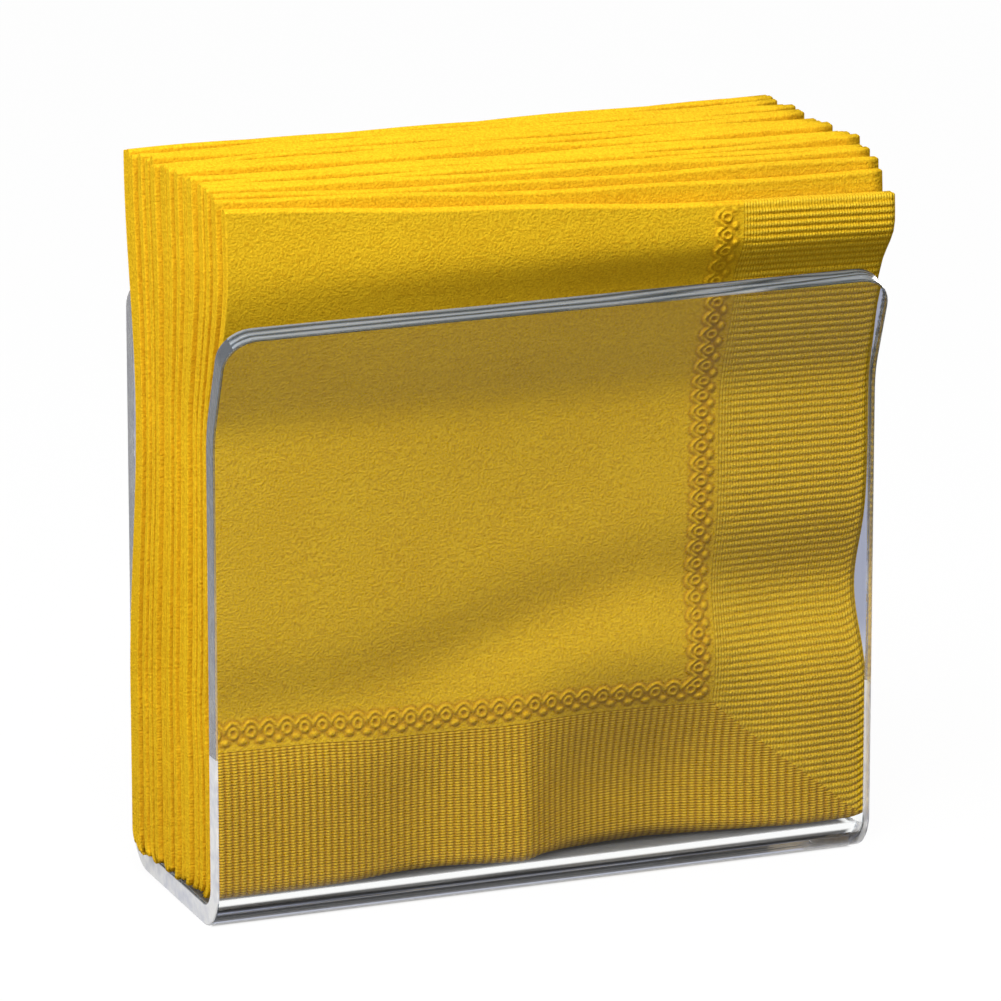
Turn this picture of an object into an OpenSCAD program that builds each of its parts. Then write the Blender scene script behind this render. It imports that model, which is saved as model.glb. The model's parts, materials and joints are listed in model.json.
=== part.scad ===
// Napkin holder: one clear sheet bent into a trough with open ends, standing full of folded paper napkins.
// Millimetres. +Z is up, +Y runs from the front panel to the back panel, and the origin is the centre of
// the underside, on the table.

/* [Sheet] */
// Width of the sheet, from open end to open end
holder_w = 127; // [100:1:160]
// Thickness of the sheet
wall = 4; // [2:0.5:6]
// Clear depth between the front and back panels
slot_d = 39; // [28:1:60]
// Height of the straight back panel
back_h = 111; // [95:1:120]
// Inside radius of the two bends at the base
bend_inner_r = 4; // [2:0.5:6]
// Radius of the rounded top corners of both panels
corner_r = 6; // [2:0.5:8]

/* [Flared lip of the front panel] */
// Height at which the front panel begins to lean out
flare_start_h = 88.5; // [70:0.5:95]
// Radius of the bend, on the front face
flare_r = 20; // [10:1:40]
// Angle between the lip and the upright
flare_angle = 20; // [8:1:28]
// Straight length of the lip above its bend
lip_len = 17; // [10:0.5:22]

/* [Napkins] */
// Number of napkins in the stack
napkin_count = 22; // [6:1:30]
// Folded width, from the fold at the left to the open edges at the right
napkin_w = 125; // [100:1:150]
// Folded height along the paper, from the open edges below to the folds above
napkin_h = 130; // [120:1:145]
// How far the back of the stack stands out past the left end of the sheet
stand_out = 1.5; // [0:0.5:4]
// How much further right the front of the stack stands than its back
end_lead = 2.5; // [0:0.5:4]
// How far the waist of the stack draws in from the back panel
waist_in = 5; // [0:0.5:8]
// Height of the waist above the table
waist_h = 88; // [70:1:100]
// Height above the table where the stack starts to draw in
waist_foot_h = 35; // [20:1:50]
// How far single napkins stand to the left or right of the others
end_scatter = 0.5; // [0:0.1:1]
// How far single napkins stand up from the floor of the sheet
foot_scatter = 1; // [0:0.1:2]

/* [Hidden] */
// Clearance between the napkins and the sheet
clear = 0.3;
// Thickness of the paper across the left fold, where the four plies turn back
fold_web = 0.6;
// Overrun of every cut
overrun = 1;
// How far the corner rounds rise past the top edge, so that they cross it instead of touching it
corner_ease = 0.02;
// Gap between napkins, and slit between plies, as shares of a napkin's pitch and thickness
gap_share = 0.2;
slit_share = 0.08;
// Straight steps round the flare of the sheet
sheet_flare_steps = 10;
// Straight steps of a napkin beside the base bend, the waist, the flare and the lip, and over each fold
bend_steps = 4;
waist_steps = 9;
flare_steps = 4;
lip_steps = 6;
fold_steps = 6;
// Turns in degrees that scatter the napkins without a pattern
end_turn = 137;
foot_turn = 101;
$fn = 96;

bend_r = bend_inner_r + wall;
depth = slot_d + 2 * wall;
// Outer top edge of the lip, measured from the front face at the table
lip_foot_z = flare_start_h + flare_r * sin(flare_angle);
lip_top_y = -flare_r * (1 - cos(flare_angle)) - lip_len * sin(flare_angle);
lip_top_z = lip_foot_z + lip_len * cos(flare_angle);

function napkin_name(k) = str(k < 10 ? "napkin_0" : "napkin_", k);

// A profile is drawn with its first axis running back from the front face and its second axis up.
module along_x(from_x, length)
    translate([from_x, -depth / 2, 0])
        rotate([90, 0, 90])
            linear_extrude(length) children();

// Sheet

module base_bend(centre_y, quarter_y)
    translate([centre_y, bend_r])
        intersection() {
            difference() {
                circle(bend_r);
                circle(bend_inner_r);
            }
            translate([quarter_y, -bend_r]) square(bend_r);
        }

function arc(centre, r, from_deg, to_deg) =
    [for (i = [0:sheet_flare_steps])
        let (turn = from_deg + (to_deg - from_deg) * i / sheet_flare_steps)
        centre + r * [cos(turn), sin(turn)]];

// Inner face up to the top of the lip, and back down its front face
module flared_lip() {
    centre = [-flare_r, flare_start_h];
    rise = lip_len * [-sin(flare_angle), cos(flare_angle)];
    inner = arc(centre, flare_r + wall, 0, flare_angle);
    front = arc(centre, flare_r, flare_angle, 0);
    polygon(concat(inner, [inner[sheet_flare_steps] + rise, front[0] + rise], front));
}

module sheet_profile() {
    translate([bend_r, 0]) square([depth - 2 * bend_r, wall]);
    base_bend(bend_r, -bend_r);
    base_bend(depth - bend_r, 0);
    translate([depth - wall, bend_r]) square([wall, back_h - bend_r]);
    translate([0, bend_r]) square([wall, flare_start_h - bend_r]);
    flared_lip();
}

// Waste outside the two rounded top corners of a panel that stands on +Y from the origin, its top at zero
module corner_waste()
    for (side = [-1, 1])
        translate([side * holder_w / 2, wall + overrun, 0])
            rotate([90, 0, 0])
                linear_extrude(wall + 2 * overrun)
                    difference() {
                        translate([side < 0 ? -overrun : -corner_r, corner_ease - corner_r])
                            square(corner_r + overrun);
                        translate([-side * corner_r, corner_ease - corner_r]) circle(corner_r);
                    }

module holder()
    color("lightcyan", 0.4)
        difference() {
            along_x(-holder_w / 2, holder_w) sheet_profile();
            translate([0, depth / 2 - wall, back_h]) corner_waste();
            translate([0, lip_top_y - depth / 2, lip_top_z]) rotate([flare_angle, 0, 0]) corner_waste();
        }

// Napkins
// A place in the stack is a share s, from 0 at the front panel to 1 at the back panel, at a height z.

// Nearest that the stack comes to an upright panel, following the bend at its foot
function panel_edge(z) =
    let (r = bend_inner_r - clear)
    z < bend_r ? bend_r - sqrt(max(r * r - (bend_r - z) * (bend_r - z), 0)) : wall + clear;

// Radius at which the foremost napkin rounds the flare, and the height where that bend ends
stack_flare_r = flare_r + wall + clear;
flare_end_h = flare_start_h + stack_flare_r * sin(flare_angle);

function stack_front(z) =
    let (rise = z - flare_start_h)
    rise <= 0 ? panel_edge(z)
    : z <= flare_end_h ? sqrt(stack_flare_r * stack_flare_r - rise * rise) - flare_r
    : stack_flare_r * cos(flare_angle) - flare_r - (z - flare_end_h) * tan(flare_angle);

function waist_share(z) =
    let (span = z < waist_h ? waist_h - waist_foot_h : napkin_h + wall - waist_h)
    (1 + cos(180 * min(abs(z - waist_h) / span, 1))) / 2;

function stack_back(z) = depth - panel_edge(z) - waist_in * waist_share(z);

function at(s, z) = [stack_front(z) * (1 - s) + stack_back(z) * s, z];

function s_front(k) = (k - 1) / (napkin_count - gap_share);
function s_back(k) = (k - gap_share) / (napkin_count - gap_share);

function napkin_foot(k) = wall + clear + foot_scatter * (1 + sin(k * foot_turn)) / 2;

// The paper above the flare leans with its place in the stack, so a leaning napkin ends lower.
function napkin_top(k) =
    let (lean = atan(tan(flare_angle) * (1 - s_front(k))))
    flare_start_h + (napkin_h + napkin_foot(k) - flare_start_h) * cos(lean);

// Each half-round fold takes half the napkin's thickness at its top.
function fold_r(k) =
    (at(s_back(k), napkin_top(k))[0] - at(s_front(k), napkin_top(k))[0]) / 4;

function shoulder(k) = napkin_top(k) - fold_r(k);

function span(low, high, steps) = [for (i = [0:steps - 1]) low + (high - low) * i / steps];

// Heights at which a napkin's profile turns, from its foot to the shoulder of its folds
function levels(k) = concat(
    span(napkin_foot(k), bend_r, bend_steps),
    [bend_r],
    span(waist_foot_h, flare_start_h, waist_steps),
    span(flare_start_h, flare_end_h, flare_steps),
    span(flare_end_h, shoulder(k), lip_steps),
    [shoulder(k)]
);

// Points up one share of the stack
function upright(s, heights) = [for (z = heights) at(s, z)];

function fold_over(k, s_start, s_half) =
    [for (i = [1:fold_steps])
        let (turn = 180 * i / fold_steps)
        at(s_start + s_half * (1 - cos(turn)), shoulder(k) + fold_r(k) * sin(turn))];

function reversed(list) = [for (i = [len(list) - 1:-1:0]) list[i]];

// Folded block: up the front, over the two folds and down the back
module napkin_block(k) {
    s_half = (s_back(k) - s_front(k)) / 4;
    polygon(concat(
        upright(s_front(k), levels(k)),
        fold_over(k, s_front(k), s_half),
        fold_over(k, s_front(k) + 2 * s_half, s_half),
        reversed(upright(s_back(k), levels(k)))
    ));
}

// Slit between plies, centred on a quarter of the napkin's thickness and cut out below, and above if open
module ply_slit(k, quarter, open_top) {
    thick = s_back(k) - s_front(k);
    middle = s_front(k) + thick * quarter / 4;
    half = thick * slit_share / 2;
    heights = concat(
        [napkin_foot(k) - overrun],
        levels(k),
        open_top ? [napkin_top(k) + overrun] : []
    );
    polygon(concat(
        upright(middle - half, heights),
        reversed(upright(middle + half, heights))
    ));
}

// A square of paper folded twice. The plies of each pair part below their fold, the two pairs part from
// bottom to top, and all four turn back on themselves at the left end.
module napkin(k) {
    left = -holder_w / 2 - stand_out + end_lead * (1 - s_front(k)) + end_scatter * sin(k * end_turn);
    color("gold")
        difference() {
            along_x(left, napkin_w) napkin_block(k);
            along_x(left + fold_web, napkin_w) {
                ply_slit(k, 1, false);
                ply_slit(k, 2, true);
                ply_slit(k, 3, false);
            }
        }
}

holder();
for (k = [1:napkin_count])
    napkin(k);
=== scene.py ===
"""Looks of a napkin holder: one heat-bent clear acrylic sheet, standing full of folded yellow paper napkins.

Metres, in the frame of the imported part: +Z is up, +Y runs from the front panel to the back panel, and the
origin is the centre of the underside, on the table.
"""

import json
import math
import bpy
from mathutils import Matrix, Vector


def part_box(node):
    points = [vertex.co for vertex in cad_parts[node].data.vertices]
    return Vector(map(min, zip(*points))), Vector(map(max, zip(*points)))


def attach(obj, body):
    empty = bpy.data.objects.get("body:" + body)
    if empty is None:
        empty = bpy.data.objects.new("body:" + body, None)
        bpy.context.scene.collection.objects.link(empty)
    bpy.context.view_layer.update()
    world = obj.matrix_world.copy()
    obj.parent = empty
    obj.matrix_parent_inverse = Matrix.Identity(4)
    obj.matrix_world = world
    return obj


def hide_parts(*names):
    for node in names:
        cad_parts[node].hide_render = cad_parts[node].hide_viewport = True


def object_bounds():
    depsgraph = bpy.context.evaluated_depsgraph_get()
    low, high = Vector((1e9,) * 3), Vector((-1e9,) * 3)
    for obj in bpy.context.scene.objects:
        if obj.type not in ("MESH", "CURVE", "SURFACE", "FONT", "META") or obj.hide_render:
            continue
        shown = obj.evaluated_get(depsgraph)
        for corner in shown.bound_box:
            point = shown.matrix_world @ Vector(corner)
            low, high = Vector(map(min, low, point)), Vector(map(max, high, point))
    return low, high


bl_info = {
    "name": "Napkin holder",
    "version": (1, 0, 0),
    "blender": (4, 5, 0),
    "location": "3D View > Sidebar > Napkin holder",
    "description": "Builds a clear acrylic napkin holder and its stack of embossed paper napkins",
    "category": "Object",
}

import bmesh
import bpy
import numpy as np
from bpy.props import FloatProperty, FloatVectorProperty, IntProperty, PointerProperty
from mathutils import Vector
from mathutils.geometry import delaunay_2d_cdt

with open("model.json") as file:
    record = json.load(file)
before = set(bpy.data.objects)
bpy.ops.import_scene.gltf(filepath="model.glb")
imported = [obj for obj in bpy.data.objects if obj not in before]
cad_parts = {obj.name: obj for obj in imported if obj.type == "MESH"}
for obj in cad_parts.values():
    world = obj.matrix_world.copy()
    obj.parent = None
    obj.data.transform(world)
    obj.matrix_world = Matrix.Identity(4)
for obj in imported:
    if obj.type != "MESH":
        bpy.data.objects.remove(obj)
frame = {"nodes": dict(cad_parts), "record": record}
CAD_BOX = [list(corner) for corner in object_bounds()]
HOLDER_LOW, HOLDER_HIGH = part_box("holder")
NAPKIN_NODES = sorted(name for name in frame["nodes"] if name.startswith("napkin_"))
BODY_OF = {
    node: body for body, nodes in frame["record"]["behaviour"]["bodies"].items() for node in nodes
}

MM = 0.001
QUARTER_TURN = math.pi / 2
SHARP_EDGE = math.radians(12)
SAW_MARK = 0.1 * MM
WHITE = (1.0, 1.0, 1.0)


def length(name, description, mm):
    return FloatProperty(name=name, description=description, default=mm * MM, unit="LENGTH", precision=5)


def angle(name, description, degrees):
    return FloatProperty(name=name, description=description, default=math.radians(degrees), subtype="ANGLE")


def colour(name, description, default):
    return FloatVectorProperty(
        name=name, description=description, default=default, size=3, subtype="COLOR", min=0.0, max=1.0
    )


def number(name, description, default):
    return FloatProperty(name=name, description=description, default=default)


# Settings


class SheetSizes(bpy.types.PropertyGroup):
    """Sizes of the bent acrylic sheet."""

    width: length("Width", "From open end to open end", (HOLDER_HIGH.x - HOLDER_LOW.x) / MM)
    depth: length("Depth", "From the front face to the back face", 2 * HOLDER_HIGH.y / MM)
    wall: length("Wall", "Thickness of the sheet", 4)
    back_h: length("Back height", "Height of the straight back panel", 111)
    bend_inner_r: length("Base bend", "Inside radius of the two bends at the base", 4)
    corner_r: length("Corner", "Radius of the rounded top corners", 6)
    flare_start_h: length("Flare start", "Height at which the front panel begins to lean out", 88.5)
    flare_r: length("Flare radius", "Radius of the bend, on the front face", 20)
    flare_angle: angle("Flare angle", "Angle between the lip and the upright", 20)
    lip_len: length("Lip", "Straight length of the lip above its bend", 17)
    frosted_h: length("Frosted ends", "Height up to which the sawn ends are frosted white", 33)
    edge_ease: length("Eased edge", "Radius to which the sawn edges are scraped", 0.35)


class NapkinSizes(bpy.types.PropertyGroup):
    """Sizes of one folded napkin and of the stack."""

    width: length("Folded width", "From the fold at the left to the open edges at the right", 125)
    height: length("Folded height", "Along the paper, from the open edges below to the folds above", 130)
    ply: length("Ply", "Thickness of one embossed ply", 0.3)
    clear: length("Clearance", "Between the napkins and the sheet", 0.3)
    gap_share: number("Gap share", "Gap between napkins as a share of their pitch", 0.1)
    stand_out: length("Stand out", "How far the back of the stack passes the left end of the sheet", 2)
    end_lead: length("End lead", "How much further right the front of the stack stands", 3)
    waist_in: length("Waist", "How far the stack draws in from the back panel", 5)
    waist_h: length("Waist height", "Height of the waist above the table", 88)
    waist_foot_h: length("Waist foot", "Height at which the stack starts to draw in", 35)
    end_scatter: length("End scatter", "How far single napkins stand to the left or right", 0.4)
    foot_scatter: length("Foot scatter", "How far single napkins stand up from the floor", 1)
    top_scatter: length("Top scatter", "How far single folds stand above or below the others", 0.5)
    spine: number("Spine", "Roundness of the left fold, 1 for a half circle", 0.2)
    crown: number("Crown", "Roundness of the top folds, 1 for a half circle", 0.9)
    free_lean: angle("Free lean", "Lean of the top of the front napkin, backwards if negative", -3)
    droop: length("Droop", "How far the right end of the front napkin hangs out over the lip", 3.5)
    wave: length("Wave", "How far the top folds wander up and down along their run", 0.35)
    crease: length("Crease", "Depth of the crease down the middle of the left fold", 0.2)
    recess: length("Recess", "How far the lower right of the front napkin stands back", 7.5)
    hollow: length("Hollow", "How far the middle of the front napkin stands back", 1.6)
    valley: length("Valley", "Depth of the soft crease across the front napkin", 1.6)


class EmbossSizes(bpy.types.PropertyGroup):
    """Sizes of the embossed border."""

    border: length("Ribbed border", "Width of the ribbed border", 28)
    rib_pitch: length("Rib pitch", "From rib to rib", 1.35)
    rib_depth: length("Rib depth", "Height of a rib above its groove", 0.28)
    rung_pitch: length("Rung pitch", "From rung to rung in the grooves", 0.54)
    chain: length("Chain band", "Width of the band of arches inside the ribs", 6.4)
    motif: length("Arch pitch", "From arch to arch of the chain", 3.4)
    stroke: length("Stroke", "Half width of a raised stroke", 0.28)
    stroke_height: length("Stroke height", "Height of a raised stroke", 0.42)


class Finishes(bpy.types.PropertyGroup):
    """Colours of the finishes."""

    paper: colour("Paper", "Dyed tissue paper", (0.93, 0.585, 0.02))
    paper_deep: colour("Paper, deep", "Tissue where the dye is stronger", (0.76, 0.42, 0.012))
    # Painted highlight: the crests of the border's ribs are painted paler, as where light catches them.
    paper_highlight: colour("Paper, raised", "Tissue rubbed pale on the ribs of its border", (1.0, 0.73, 0.06))
    # Painted shade: the grooves of the border and the sides of the chain's strokes are painted darker, where
    # shade falls.
    paper_shade: colour("Paper, pressed", "Tissue in the grooves of its border", (0.6, 0.3, 0.01))
    acrylic: colour("Acrylic", "Tint of the clear sheet", (0.985, 0.995, 0.992))
    # Partly painted reflection: the dark blue grey of the top edges stands in for the dark reflection in
    # them, and the light streaks partly for highlights along them, over scrape marks.
    edge: colour("Scraped edge", "Blue grey of the scraped top edges", (0.1, 0.14, 0.18))
    edge_light: colour("Scraped edge, light", "Light streaks on the scraped top edges", (0.68, 0.75, 0.82))
    end: colour("Sawn end", "Grey of the sawn ends", (0.68, 0.7, 0.8))
    end_light: colour("Sawn end, light", "Frosted patches of the sawn ends", WHITE)
    # Painted shade on the inner edge of the sawn ends, under the stack.
    end_shade: colour("Sawn end, shade", "Inner edge of the sawn ends, under the stack", (0.02, 0.02, 0.025))
    backdrop: colour("Backdrop", "Grey of the far backdrop, seen through the sheet", (0.34, 0.36, 0.47))


class StageSettings(bpy.types.PropertyGroup):
    """Camera, lamps and floor."""

    target: FloatVectorProperty(
        name="Target", description="Point at the centre of the picture",
        default=(-9.37 * MM, -23.5 * MM, 75.4 * MM), size=3, subtype="TRANSLATION",
    )
    azimuth: angle("Azimuth", "How far left of the front the camera stands", 21.36)
    elevation: angle("Elevation", "How far above the horizon the camera stands", 15.97)
    distance: length("Distance", "From the target to the camera", 1423)
    lens: number("Lens", "Focal length in millimetres", 287.2)
    sky: number("Sky", "Soft light from all round", 0.3)
    key_watts: number("Key lamp", "Power of the soft box high up at the front", 8.2)
    left_watts: number("Left lamp", "Power of the soft box at the left", 1.9)
    back_watts: number("Back lamp", "Power of the soft box behind at the right", 16.0)
    floor_grey: number("Floor", "Reflectance of the floor towards the object", 0.2)
    floor_white: number("White floor", "Reflectance of the floor in the picture", 1.0)
    # Painted shadow: the share of its reflectance that the floor keeps under the object.
    floor_under: number("Floor under", "Share of its reflectance that the floor keeps under the object", 0.18)
    white_share: number("White share", "Share of the floor's picture that no shadow darkens", 0.96)


class HolderSettings(bpy.types.PropertyGroup):
    """All settings of the napkin holder."""

    sheet: PointerProperty(type=SheetSizes)
    napkin: PointerProperty(type=NapkinSizes)
    emboss: PointerProperty(type=EmbossSizes)
    finish: PointerProperty(type=Finishes)
    stage: PointerProperty(type=StageSettings)
    seed: IntProperty(name="Seed", description="Start of the scatter of the napkins", default=7)


# Meshes


def smoothstep(low, high, value):
    t = np.clip((value - low) / (high - low), 0.0, 1.0)
    return t * t * (3.0 - 2.0 * t)


def bell(value, centre, half_width):
    return np.exp(-(((value - centre) / half_width) ** 2))


def add_object(name, points, faces, materials):
    """A new mesh object, its faces turned outwards."""
    mesh = bpy.data.meshes.new(name)
    mesh.from_pydata([tuple(point) for point in points], [], faces)
    mesh.validate()
    work = bmesh.new()
    work.from_mesh(mesh)
    bmesh.ops.recalc_face_normals(work, faces=work.faces)
    work.to_mesh(mesh)
    work.free()
    for material in materials:
        mesh.materials.append(material)
    mesh.shade_smooth()
    obj = bpy.data.objects.new(name, mesh)
    bpy.context.scene.collection.objects.link(obj)
    return obj


def add_attribute(obj, name, kind, values):
    attribute = obj.data.attributes.new(name, kind, "POINT")
    attribute.data.foreach_set("vector" if kind == "FLOAT_VECTOR" else "value", np.ravel(values))


# Acrylic sheet


class SheetPath:
    """Middle line of the sheet's profile, from the top of the lip down, along the floor and up the back."""

    ARC_STEPS = 20

    def __init__(self, sheet):
        mid_bend = sheet.bend_inner_r + sheet.wall / 2
        bend_r = sheet.bend_inner_r + sheet.wall
        mid_flare = sheet.flare_r + sheet.wall / 2
        self.stretches = [
            (sheet.lip_len, 0.0),
            (mid_flare * sheet.flare_angle, -sheet.flare_angle),
            (sheet.flare_start_h - sheet.frosted_h, 0.0),
            (sheet.frosted_h - bend_r, 0.0),
            (mid_bend * QUARTER_TURN, QUARTER_TURN),
            (sheet.depth - 2 * bend_r, 0.0),
            (mid_bend * QUARTER_TURN, QUARTER_TURN),
            (sheet.frosted_h - bend_r, 0.0),
            (sheet.back_h - sheet.frosted_h, 0.0),
        ]
        self.heading = sheet.flare_angle - QUARTER_TURN
        self.start = Vector((0.0, 0.0))
        self.total = sum(run for run, _ in self.stretches)
        end, _ = self.place(self.total)
        self.start = Vector((sheet.depth / 2 - sheet.wall / 2, sheet.back_h)) - end

    def place(self, along):
        """The point (y, z) at that length along the line, and the unit normal to the sheet's outer side."""
        point, heading = self.start.copy(), self.heading
        for run, turn in self.stretches:
            part = min(along, run)
            if turn:
                after = heading + turn * part / run
                sines, cosines = math.sin(after) - math.sin(heading), math.cos(heading) - math.cos(after)
                point += run / turn * Vector((sines, cosines))
                heading = after
            else:
                point += part * Vector((math.cos(heading), math.sin(heading)))
            along -= part
            if along <= 0:
                break
        return point, Vector((math.sin(heading), -math.cos(heading)))

    def stations(self, margin):
        """Lengths along the line, away from both ends, at which the profile needs a point."""
        found, start = [], 0.0
        for run, turn in self.stretches:
            steps = self.ARC_STEPS if turn else 1
            found += [start + run * i / steps for i in range(steps)]
            start += run
        return [x for x in found if margin < x < self.total - margin]


def edge_profile(wall, ease, steps=3):
    """Pairs of inset and height round the edge of the sheet, from its outer face to its inner face."""
    turns = [QUARTER_TURN * i / steps for i in range(steps + 1)]
    outer = [(ease * (1 - math.sin(a)), wall / 2 - ease * (1 - math.cos(a))) for a in turns]
    return outer + [(inset, -height) for inset, height in reversed(outer)]


def build_sheet(sheet, materials):
    """One bent sheet with rounded top corners and eased edges.

    Materials: faces, sawn ends low down, scraped top edges, and the clearer ends of the two panels.
    """
    corner_steps = 10
    path = SheetPath(sheet)
    corner = [QUARTER_TURN * i / corner_steps for i in range(corner_steps + 1)]
    middle = path.stations(sheet.corner_r)
    profile = edge_profile(sheet.wall, sheet.edge_ease)

    def outline(inset):
        """Half widths and lengths along the sheet of one side's outline, set in by inset."""
        r, half = sheet.corner_r, sheet.width / 2
        near = [(half - r + (r - inset) * math.sin(a), r - (r - inset) * math.cos(a)) for a in corner]
        far = [(x, path.total - along) for x, along in reversed(near)]
        return near + [(half - inset, along) for along in middle] + far

    points, through, count = [], [], None
    for inset, height in profile:
        side = outline(inset)
        count = len(side)
        for sign in (-1, 1):
            for half, along in side:
                (y, z), normal = path.place(along)
                points.append((sign * half, y + normal.x * height, z + normal.y * height))
                through.append(2 * height / sheet.wall)

    def index(loop, side, j):
        return (2 * loop + side) * count + j

    def quad(a, b, c, d):
        return [index(*corner) for corner in (a, b, c, d)]

    faces, edge_faces = [], []
    last = len(profile) - 1
    for j in range(count - 1):
        for loop in (0, last):
            faces.append(quad((loop, 0, j), (loop, 0, j + 1), (loop, 1, j + 1), (loop, 1, j)))
        for loop in range(last):
            for side in (0, 1):
                edge_faces.append(quad((loop, side, j), (loop, side, j + 1),
                                       (loop + 1, side, j + 1), (loop + 1, side, j)))
    for loop in range(last):
        for j in (0, count - 1):
            edge_faces.append(quad((loop, 0, j), (loop, 1, j), (loop + 1, 1, j), (loop + 1, 0, j)))
    obj = add_object("acrylic_sheet", points, faces + edge_faces, materials)
    for polygon in obj.data.polygons:
        if polygon.index >= len(faces):
            end = 1 if polygon.center.z < sheet.frosted_h else 3
            polygon.material_index = end if abs(polygon.normal.x) > abs(polygon.normal.z) else 2
    obj.data.set_sharp_from_angle(angle=SHARP_EDGE)
    add_attribute(obj, "through", "FLOAT", through)
    return obj


# Napkin stack
# A place in the stack is a share s, from 0 at the front to 1 at the back, a place x along the sheet and a
# height z. A form of the front napkin dies out behind it within a reach, which is a share of the stack.


class Stack:
    """How the napkins fill the sheet: where the stack's front and back run, and its tops and feet."""

    def __init__(self, settings):
        self.sheet, self.napkin = settings.sheet, settings.napkin
        sheet, napkin = self.sheet, self.napkin
        self.bend_r = sheet.bend_inner_r + sheet.wall
        self.paper_flare_r = sheet.flare_r + sheet.wall + napkin.clear
        self.flare_end_h = sheet.flare_start_h + self.paper_flare_r * math.sin(sheet.flare_angle)
        self.lip_h = (sheet.flare_start_h + (sheet.flare_r + sheet.wall) * math.sin(sheet.flare_angle)
                      + sheet.lip_len * math.cos(sheet.flare_angle))

    def panel_edge(self, z):
        """Nearest that the stack comes to an upright panel, following the bend at its foot."""
        r = self.sheet.bend_inner_r - self.napkin.clear
        low = np.minimum(z - self.bend_r, 0.0)
        bent = self.bend_r - np.sqrt(np.maximum(r * r - low * low, 0.0))
        return np.where(z < self.bend_r, bent, self.sheet.wall + self.napkin.clear)

    def sag(self, x):
        """How much of the droop at the right end is reached at x."""
        power = 1.4
        across = np.clip(x / self.sheet.width + 0.5, 0.0, 1.0)
        return 1.0 - (1.0 - across) ** power

    def front(self, x, z):
        """Front of the stack, behind the front panel and out over its lip."""
        sheet, napkin = self.sheet, self.napkin
        slope = math.tan(sheet.flare_angle)
        rise = np.clip(z - sheet.flare_start_h, 0.0, self.flare_end_h - sheet.flare_start_h)
        bent = np.sqrt(self.paper_flare_r ** 2 - rise ** 2) - self.paper_flare_r
        leaning = -np.maximum(z - self.flare_end_h, 0.0) * slope
        free = np.maximum(z - self.lip_h, 0.0)
        ease, hang_from, hang_to = 12 * MM, 0.3 * MM, 9 * MM
        straighter = np.where(free < ease, free * free / (2 * ease), free - ease / 2)
        straighter = straighter * (slope - math.tan(napkin.free_lean))
        hang = napkin.droop * self.sag(x) * smoothstep(hang_from, hang_to, z - self.lip_h)
        return self.panel_edge(z) + bent + leaning + straighter - hang

    def back(self, z):
        """Back of the stack, which draws in at its waist."""
        napkin = self.napkin
        below = napkin.waist_h - napkin.waist_foot_h
        above = napkin.height + self.sheet.wall - napkin.waist_h
        away = np.abs(z - napkin.waist_h) / np.where(z < napkin.waist_h, below, above)
        waist = (1.0 + np.cos(np.pi * np.minimum(away, 1.0))) / 2
        return self.sheet.depth - self.panel_edge(z) - napkin.waist_in * waist

    def dents(self, x, z):
        """How far the front napkin stands back from the panel: crease, fold low down and hollow middle."""
        napkin = self.napkin
        crease_low, crease_rise, crease_half = 39 * MM, 17 * MM, 8 * MM
        deeper, drop, broader = 1.6, 5 * MM, 4 * MM
        wider = smoothstep(20 * MM, 50 * MM, x)
        crease_h = crease_low + crease_rise * smoothstep(-48 * MM, 30 * MM, x)
        crease = bell(z, crease_h - drop * wider, crease_half + broader * wider)
        crease = napkin.valley * (1 + deeper * wider) * crease

        fold_x, fold_run, fold_power, fold_end, ripple = -3 * MM, 9 * MM, 1.4, 0.85, 0.4
        fold = 1 - np.exp(-((np.maximum(x - fold_x, 0.0) / fold_run) ** fold_power))
        fold *= 1 - fold_end * smoothstep(22 * MM, 52 * MM, x)
        fold += ripple * bell(x, -22 * MM, 12 * MM)
        low = 1 - smoothstep(14 * MM, 44 * MM, z)

        hollow = napkin.hollow * bell(x, -6 * MM, 34 * MM) * smoothstep(10 * MM, 40 * MM, z)
        hollow = hollow * (1 - smoothstep(70 * MM, 105 * MM, z))
        swell_h = 0.15 * MM
        swell = np.sin(x / (17 * MM) + z / (31 * MM)) * np.sin(z / (19 * MM) - x / (43 * MM))
        return crease + napkin.recess * fold * low + hollow + swell_h * (1 + swell)

    def y(self, s, x, z):
        """Where a place in the stack lies from front to back."""
        spread, spread_reach, dent_reach = 0.03, 0.04, 0.3
        loose = smoothstep(-20 * MM, 20 * MM, z - self.lip_h)
        s = s + spread * loose * (1 - np.exp(-s / spread_reach)) * (1 - s)
        straight = self.front(x, z) * (1 - s) + self.back(z) * s
        return straight + self.dents(x, z) * np.exp(-s / dent_reach) - self.sheet.depth / 2

    def end_shift(self, s, x, z):
        """How far the right edge is pushed in or spreads."""
        push_high, push_low, spread_high, spread_low, reach = 0.6 * MM, 0.8 * MM, 1 * MM, 1.6 * MM, 0.12
        pushed = push_high * bell(z, 106 * MM, 7 * MM) + push_low * bell(z, 48 * MM, 10 * MM)
        spread = spread_high + spread_low * (1 - smoothstep(5 * MM, 60 * MM, z))
        return (spread - pushed) * smoothstep(30 * MM, 62 * MM, x) * np.exp(-s / reach)

    def top(self, s, x):
        """Height of the folds."""
        left_h, left_rise, back_rise, left_reach = 134 * MM, 3.4 * MM, 1.1 * MM, 0.1
        right_h, right_drop, right_reach = 134.6 * MM, 7.6 * MM, 0.07
        early = 1 - math.exp(-s / left_reach)
        left = left_h + left_rise * early * (1 - s) + back_rise * s
        right = right_h - right_drop * math.exp(-s / right_reach)
        return left + (right - left) * self.sag(x)

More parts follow.
